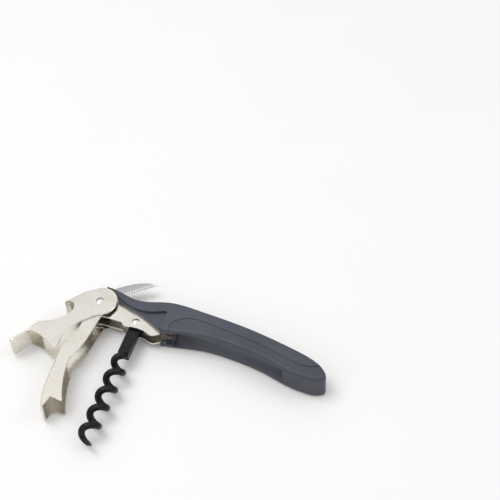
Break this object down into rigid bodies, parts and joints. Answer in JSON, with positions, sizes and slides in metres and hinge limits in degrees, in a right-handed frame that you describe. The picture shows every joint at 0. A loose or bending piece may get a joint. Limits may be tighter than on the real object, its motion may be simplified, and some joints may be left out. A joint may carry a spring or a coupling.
{
  "type": "lever corkscrew",
  "caption": "Lever corkscrew with a curved handle, a folding worm and foil knife, and nested stepped levers with a cap-lifter arch, lying open on its side.",
  "frame": {"origin": "middle of the footprint, on the surface the tool lies on", "axes": "+X along the handle from the lever pivot to the butt, +Y towards the handle's spine side, +Z along the hinge rivets"},
  "size_m": [0.14, 0.0928, 0.013],
  "materials": {
    "handle_plastic": "soft-touch matte, dark slate grey",
    "grip_plastic": "soft-touch matte, dark slate grey",
    "lever_nickel": "tumbled nickel plate, satin",
    "frame_nickel": "tumbled nickel plate, satin",
    "rivet_steel": "bright, domed",
    "spring_steel": "plain spring steel",
    "spacer_plastic": "black nylon",
    "blade_steel": "ground steel with a serrated bevel",
    "worm_coating": "black non-stick coating, satin"
  },
  "bodies": {
    "handle": {"back_spring": "spring_steel", "frame_pins": "rivet_steel", "frame_plate_lower": "frame_nickel", "frame_plate_upper": "frame_nickel", "frame_spacer": "spacer_plastic", "grip_insert": "grip_plastic", "handle_body": "handle_plastic", "knife_spacer_lower": "spacer_plastic", "knife_spacer_upper": "spacer_plastic", "lever_rivet": "rivet_steel", "lever_washer_lower": "spacer_plastic", "lever_washer_upper": "spacer_plastic", "worm_rivet": "rivet_steel", "worm_spacer_lower": "spacer_plastic", "worm_spacer_upper": "spacer_plastic"},
    "first_lever": {"first_lever": "lever_nickel"},
    "second_lever": {"second_lever": "lever_nickel"},
    "worm": {"worm_shank": "worm_coating", "worm_helix": "worm_coating"},
    "knife": {"knife_blade": "blade_steel"}
  },
  "joints": [
    {"name": "lever_fold", "type": "hinge", "parent": "handle", "child": "first_lever", "pos_m": [-0.0425, 0.02336, 0.0065], "axis": [0, 0, 1], "range_deg": [0, 110]},
    {"name": "second_lever_fold", "type": "hinge", "parent": "handle", "child": "second_lever", "pos_m": [-0.0425, 0.02336, 0.0065], "axis": [0, 0, 1], "range_deg": [0, 76.5]},
    {"name": "worm_fold", "type": "hinge", "parent": "handle", "child": "worm", "pos_m": [-0.0225, 0.02036, 0.0065], "axis": [0, 0, 1], "range_deg": [0, 81]},
    {"name": "knife_fold", "type": "hinge", "parent": "handle", "child": "knife", "pos_m": [-0.0425, 0.02336, 0.0065], "axis": [0, 0, 1], "range_deg": [-36, 60]}
  ],
  "couplings": [
    {"joint": "second_lever_fold", "follows": "lever_fold", "ratio": 0.69545},
    {"joint": "worm_fold", "follows": "lever_fold", "ratio": 0.73636}
  ]
}
